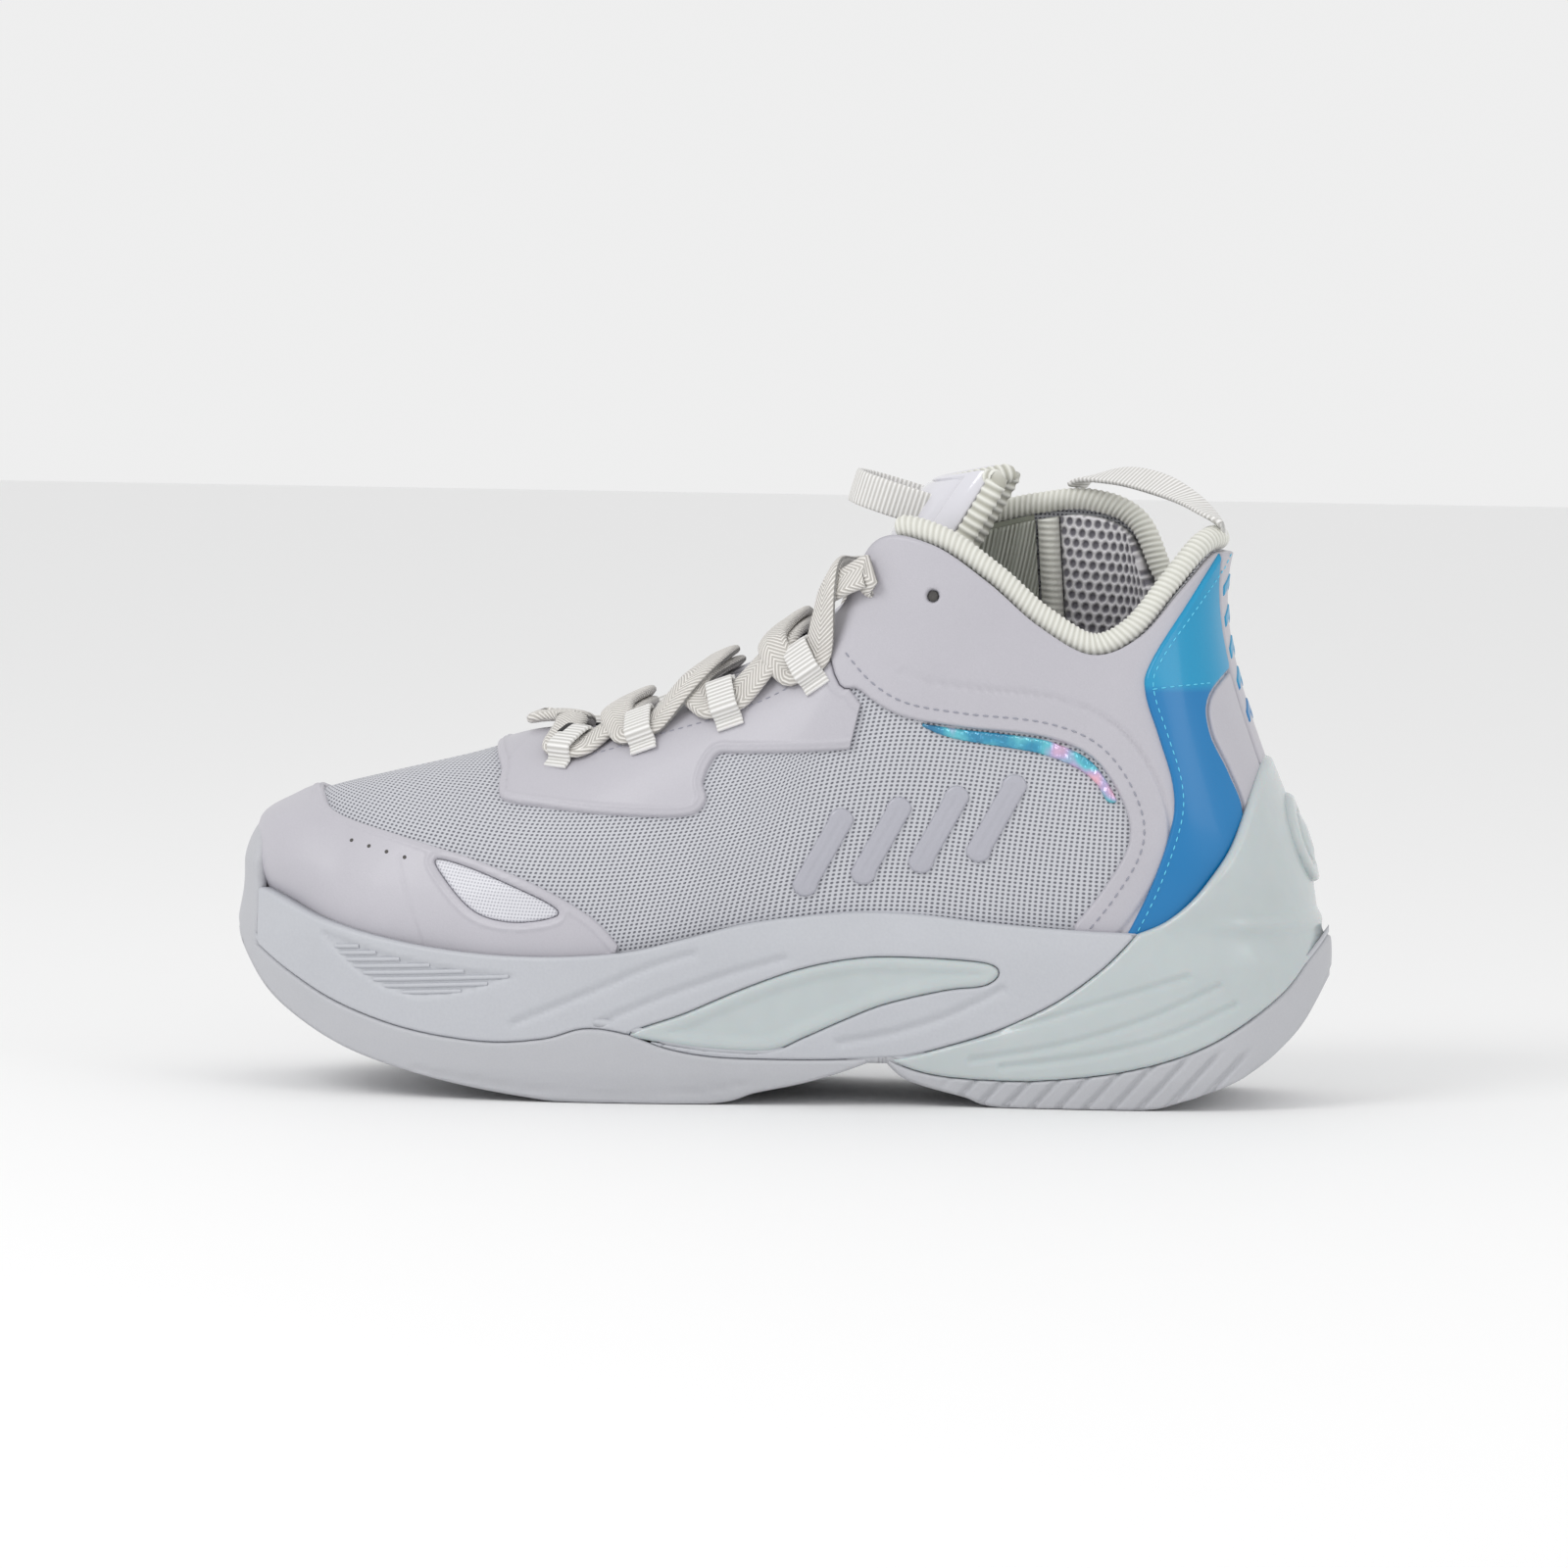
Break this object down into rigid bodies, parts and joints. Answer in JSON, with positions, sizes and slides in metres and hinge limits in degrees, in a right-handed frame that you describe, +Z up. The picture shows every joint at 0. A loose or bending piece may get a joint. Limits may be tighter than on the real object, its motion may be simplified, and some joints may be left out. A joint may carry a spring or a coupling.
{
  "type": "basketball high top",
  "caption": "High-top basketball shoe, left foot: cupped foam sole with rubber outsole and heel cup, mesh upper with welded overlays, padded collar, laced tongue with pull loop",
  "frame": {"origin": "middle of the footprint, on the ground", "axes": "+Z up, toe towards -X, heel towards +X, lateral side towards -Y, medial side towards +Y"},
  "size_m": [0.2911, 0.1071, 0.1657],
  "materials": {
    "outsole_rubber": "moulded, satin",
    "midsole_foam": "moulded foam skin, satin",
    "clear_tpu": "moulded, glossy, faintly green",
    "gloss_film": "glossy film",
    "board": "pressed fibre",
    "lining_cloth": "knitted",
    "upper_mesh": "engineered mesh",
    "window_mesh": "fine mesh",
    "synthetic_leather": "welded synthetic leather, satin",
    "blue_film": "welded film, satin blue",
    "iridescent_film": "iridescent",
    "knit": "ribbed knit",
    "honeycomb_knit": "honeycomb spacer knit",
    "webbing": "woven",
    "lace_weave": "woven"
  },
  "bodies": {
    "shoe": {"outsole_forefoot": "outsole_rubber", "outsole_heel": "outsole_rubber", "midsole": "midsole_foam", "arch_insert_lateral": "clear_tpu", "arch_insert_medial": "clear_tpu", "heel_cup": "clear_tpu", "heel_medallion": "gloss_film", "strobel_board": "board", "sockliner": "lining_cloth", "heel_counter": "board", "toe_puff": "board", "heel_lining": "lining_cloth", "upper_mesh": "upper_mesh", "toe_cap": "synthetic_leather", "back_stay": "blue_film", "collar_binding": "knit", "heel_pad": "honeycomb_knit", "tongue": "upper_mesh", "lace": "lace_weave", "toe_window_lateral": "window_mesh", "eyestay_lateral": "synthetic_leather", "quarter_lateral": "synthetic_leather", "heel_band_lateral": "blue_film", "piping_lateral": "iridescent_film", "side_badge_lateral": "gloss_film", "quarter_lining_lateral": "lining_cloth", "ankle_pad_lateral": "honeycomb_knit", "pad_binding_lateral": "knit", "gore_lateral": "knit", "lace_loop_lateral_1": "webbing", "lace_loop_lateral_2": "webbing", "lace_loop_lateral_3": "webbing", "lace_loop_lateral_4": "webbing", "toe_window_medial": "window_mesh", "eyestay_medial": "synthetic_leather", "quarter_medial": "synthetic_leather", "heel_band_medial": "blue_film", "piping_medial": "iridescent_film", "side_badge_medial": "gloss_film", "quarter_lining_medial": "lining_cloth", "ankle_pad_medial": "honeycomb_knit", "pad_binding_medial": "knit", "gore_medial": "knit", "lace_loop_medial_1": "webbing", "lace_loop_medial_2": "webbing", "lace_loop_medial_3": "webbing", "lace_loop_medial_4": "webbing"},
    "tongue_top": {"tongue_top": "gloss_film"},
    "tongue_loop": {"tongue_loop": "webbing"},
    "heel_strap": {"heel_strap": "webbing"}
  },
  "joints": [
    {"name": "tongue_bend", "type": "hinge", "parent": "shoe", "child": "tongue_top", "pos_m": [0.035, 0, 0.1445], "axis": [0, 1, 0], "range_deg": [-8, 18], "stiffness_Nm_per_rad": 0.02},
    {"name": "loop_flop", "type": "hinge", "parent": "tongue_top", "child": "tongue_loop", "pos_m": [0.04, 0, 0.154], "axis": [0, 1, 0], "range_deg": [-12, 12], "stiffness_Nm_per_rad": 0.004},
    {"name": "strap_flop", "type": "hinge", "parent": "shoe", "child": "heel_strap", "pos_m": [0.113, -0.003, 0.1527], "axis": [-0.7533, 0.626, 0.2016], "range_deg": [-12, 12], "stiffness_Nm_per_rad": 0.004}
  ]
}
